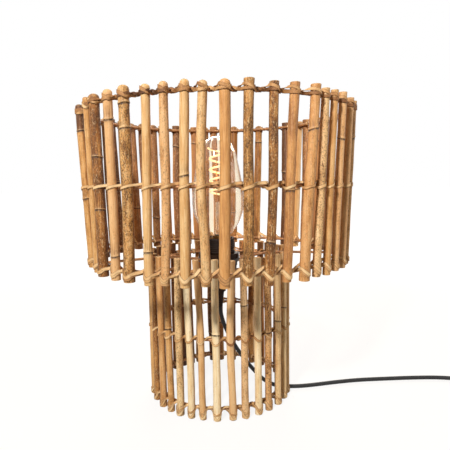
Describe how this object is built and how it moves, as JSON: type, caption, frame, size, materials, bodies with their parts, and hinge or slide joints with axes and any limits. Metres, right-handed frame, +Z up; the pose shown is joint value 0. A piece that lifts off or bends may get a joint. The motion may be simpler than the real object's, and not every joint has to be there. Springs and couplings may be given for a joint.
{
  "type": "cane table lamp",
  "caption": "Two-tier table lamp of upright canes lashed to wire rings: a wide drum shade over a narrower base, with a spiral-filament bulb, a black holder and a switched cord.",
  "frame": {"origin": "on the table, under the middle of the lamp", "axes": "+Z up along the lamp's axis, -Y towards the camera, +X to the right, where the cord leaves"},
  "size_m": [0.5159, 0.3696, 0.3484],
  "materials": {
    "cane": "natural skin, semi-gloss",
    "split_cane": "natural, satin",
    "ring_wire": "browned wire",
    "spoke_wire": "browned wire",
    "carrier_black": "satin black",
    "holder_black": "satin black",
    "holder_ceramic": "glazed",
    "contact_brass": "plain",
    "bulb_glass": "clear, slightly amber",
    "bulb_cap": "plated",
    "bulb_insulator": "black glass",
    "bulb_solder": "dull",
    "bulb_wire": "plain",
    "filament": "lit",
    "cord": "satin black",
    "tie": "matt black",
    "plug_black": "satin black",
    "switch_rocker": "gloss black",
    "plug_pins": "nickel plated",
    "steel": "plain"
  },
  "bodies": {
    "lamp": {"base_bottom_lashing": "split_cane", "base_bottom_ring": "ring_wire", "base_canes_01": "cane", "base_canes_02": "cane", "base_canes_03": "cane", "base_canes_04": "cane", "base_canes_05": "cane", "base_canes_06": "cane", "base_carrier_ring": "carrier_black", "base_middle_lashing": "split_cane", "base_middle_ring": "ring_wire", "base_spokes": "spoke_wire", "base_top_lashing": "split_cane", "base_top_ring": "ring_wire", "coil_tie": "tie", "cord_coil": "cord", "cord_grip": "holder_black", "cord_to_coil": "cord", "cord_to_plug": "cord", "cord_to_switch": "cord", "holder_cap": "holder_black", "holder_centre_contact": "contact_brass", "holder_core": "holder_ceramic", "holder_ring_nut": "holder_black", "holder_sleeve": "holder_black", "holder_terminal_screws": "contact_brass", "holder_thread_shell": "contact_brass", "plug_body": "plug_black", "plug_pin_sleeves": "plug_black", "plug_pins": "plug_pins", "plug_strain_relief": "cord", "shade_bottom_lashing": "split_cane", "shade_bottom_ring": "ring_wire", "shade_canes_01": "cane", "shade_canes_02": "cane", "shade_canes_03": "cane", "shade_canes_04": "cane", "shade_canes_05": "cane", "shade_canes_06": "cane", "shade_canes_07": "cane", "shade_canes_08": "cane", "shade_carrier_ring": "carrier_black", "shade_middle_lashing": "split_cane", "shade_middle_ring": "ring_wire", "shade_spokes": "spoke_wire", "shade_top_lashing": "split_cane", "shade_top_ring": "ring_wire", "switch_contacts": "contact_brass", "switch_lower_shell": "plug_black", "switch_pivot_pin": "steel", "switch_screws": "steel", "switch_upper_shell": "plug_black"},
    "bulb_tip": {"bulb_tip_contact": "bulb_solder"},
    "bulb": {"bulb_glass": "bulb_glass", "bulb_cap": "bulb_cap", "bulb_cap_insulator": "bulb_insulator", "bulb_stem": "bulb_glass", "bulb_lead_wires": "bulb_wire", "bulb_filament": "filament"},
    "rocker": {"switch_rocker": "switch_rocker"}
  },
  "joints": [
    {"name": "bulb_rise", "type": "slide", "parent": "lamp", "child": "bulb_tip", "axis": [0, 0, 1], "range_m": [0, 0.0218]},
    {"name": "bulb_turn", "type": "hinge", "parent": "bulb_tip", "child": "bulb", "pos_m": [0, 0, 0.18], "axis": [0, 0, 1], "range_deg": [0, 2160]},
    {"name": "switch_rock", "type": "hinge", "parent": "lamp", "child": "rocker", "pos_m": [0.338, -0.07, 0.0145], "axis": [1, 0, 0], "range_deg": [-16, 0]}
  ],
  "couplings": [
    {"joint": "bulb_rise", "follows": "bulb_turn", "m_per_rad": 0.00057757}
  ]
}
